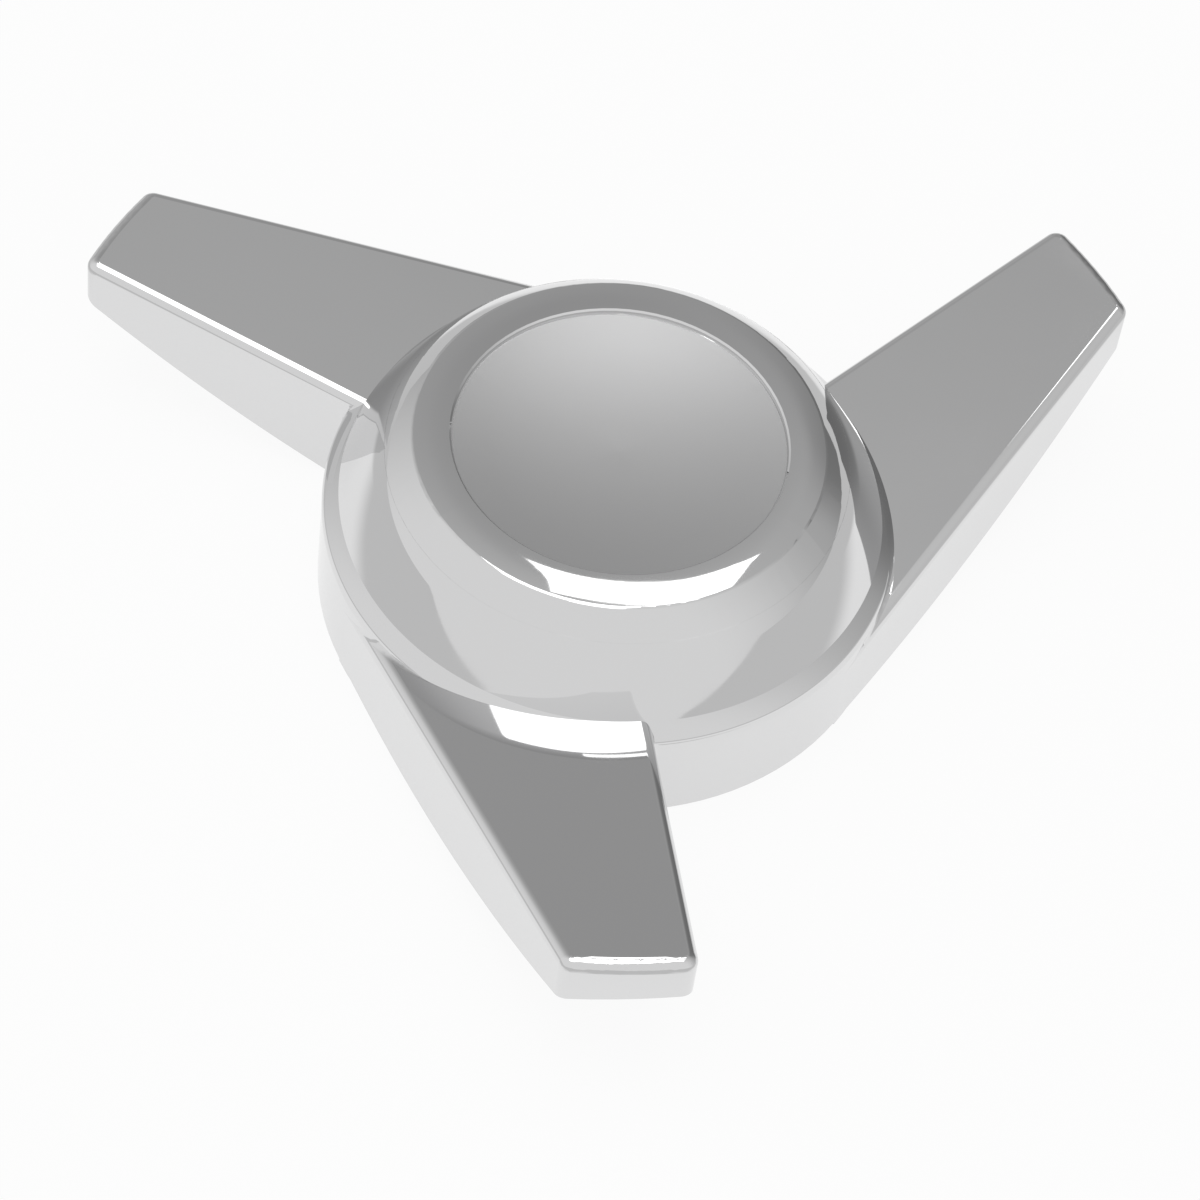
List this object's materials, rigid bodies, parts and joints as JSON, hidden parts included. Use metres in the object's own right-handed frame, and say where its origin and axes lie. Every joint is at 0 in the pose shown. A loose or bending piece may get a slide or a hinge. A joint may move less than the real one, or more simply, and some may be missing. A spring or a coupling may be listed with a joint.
{
  "type": "wire wheel spinner",
  "caption": "Swept three-wing knock-off centre nut for a wire wheel, chrome-plated casting with a domed hub, an empty badge recess and a threaded hole behind.",
  "frame": {"origin": "on the thread's axis, in the plane of the hub's flat rear face", "axes": "+Z along the thread's axis from the rear face towards the dome, first wing towards -Y"},
  "size_m": [0.1831, 0.1601, 0.0391],
  "materials": {
    "chrome_plate": "bright plating, satin in the recess"
  },
  "bodies": {
    "root": {"spinner_casting": "chrome_plate"}
  },
  "joints": []
}
